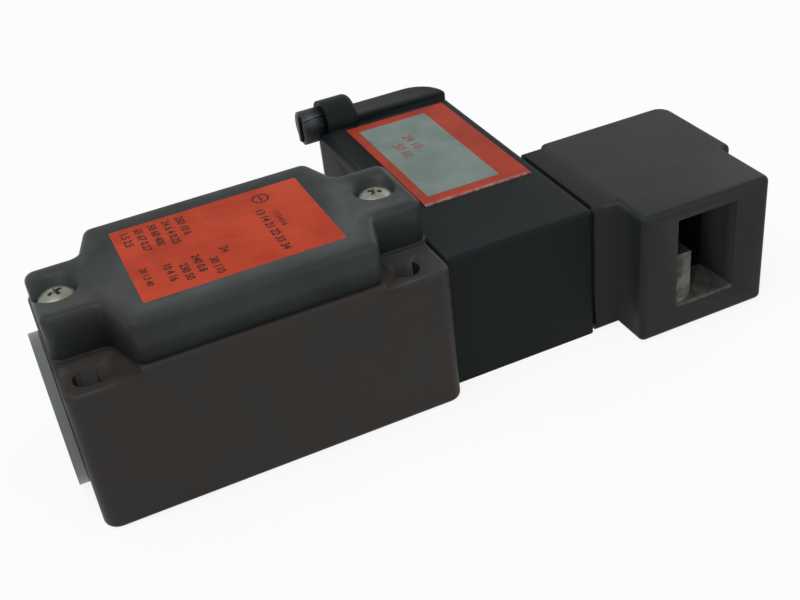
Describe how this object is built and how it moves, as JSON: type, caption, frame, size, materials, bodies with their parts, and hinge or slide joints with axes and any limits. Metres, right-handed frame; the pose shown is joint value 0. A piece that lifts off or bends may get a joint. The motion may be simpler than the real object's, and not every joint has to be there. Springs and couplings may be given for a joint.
{
  "type": "tongue interlock switch",
  "caption": "Tongue-operated safety interlock switch: die-cast wiring body with lid, plastic guard-lock module and slotted actuator head.",
  "frame": {"origin": "middle of the four mounting holes, on the mounting face under the body", "axes": "+X from the cable entry to the actuator head, -Y towards the tongue slot, +Z out of the mounting face towards the lid"},
  "size_m": [0.1479, 0.0834, 0.041],
  "materials": {
    "cast_grey": "semi-gloss dark grey paint on a casting",
    "head_grey": "semi-gloss dark grey paint on a casting",
    "module_black": "glass-filled black plastic, fine texture",
    "screw_steel": "zinc plated",
    "label_red": "printed foil, matt",
    "steel": "bare steel",
    "spring_steel": "spring wire",
    "brass": "plain",
    "block_plastic": "moulded",
    "rubber": "soft",
    "copper": "enamelled copper wire",
    "guide_plastic": "acetal"
  },
  "bodies": {
    "housing": {"base_housing": "cast_grey", "lid": "cast_grey", "lid_screws": "screw_steel", "lid_label": "label_red", "lid_gasket": "rubber", "module_housing": "module_black", "module_label": "label_red", "head_housing": "head_grey", "slot_guide": "steel", "contact_block": "block_plastic", "contact_block_screws": "screw_steel", "fixed_contacts": "brass", "terminal_clamps": "brass", "terminal_screws": "screw_steel", "earth_screw": "screw_steel", "earth_clamp": "brass", "return_spring": "spring_steel", "plunger_bush": "brass", "plunger_seal": "rubber", "module_gasket": "rubber", "module_screws": "screw_steel", "module_inserts": "brass", "module_cover": "module_black", "module_cover_screws": "screw_steel", "lock_guide": "module_black", "core_stop": "steel", "solenoid_frame": "steel", "coil_bobbin": "block_plastic", "coil_winding": "copper", "lock_spring": "spring_steel", "release_seal": "rubber", "plunger_spring": "spring_steel", "head_gasket": "rubber", "head_inserts": "brass", "head_screws": "screw_steel", "plunger_guide": "guide_plastic", "cam_pin": "steel"},
    "plunger": {"plunger": "steel", "plunger_clip": "steel", "contact_carrier": "block_plastic", "contact_bridges": "brass"},
    "lock": {"lock_gate": "steel", "push_rod": "steel", "armature": "steel", "armature_plate": "steel"},
    "cam": {"cam_wheel": "steel"},
    "release": {"release_spindle": "steel", "release_clip": "steel"}
  },
  "joints": [
    {"name": "cam_turn", "type": "hinge", "parent": "housing", "child": "cam", "pos_m": [0.0845, 0, 0.015], "axis": [0, 0, 1], "range_deg": [0, 60]},
    {"name": "plunger_slide", "type": "slide", "parent": "housing", "child": "plunger", "axis": [1, 0, 0], "range_m": [0, 0.0042], "deforming": ["return_spring", "plunger_spring"]},
    {"name": "lock_slide", "type": "slide", "parent": "housing", "child": "lock", "axis": [0, -1, 0], "range_m": [0, 0.0015], "stiffness_N_per_m": 200, "deforming": ["lock_spring"]},
    {"name": "release_turn", "type": "hinge", "parent": "housing", "child": "release", "pos_m": [0.04, 0.0545, 0.031], "axis": [-1, 0, 0], "range_deg": [0, 30]}
  ],
  "couplings": [
    {"joint": "cam_turn", "follows": "plunger_slide", "rad_per_m": 249.33}
  ]
}
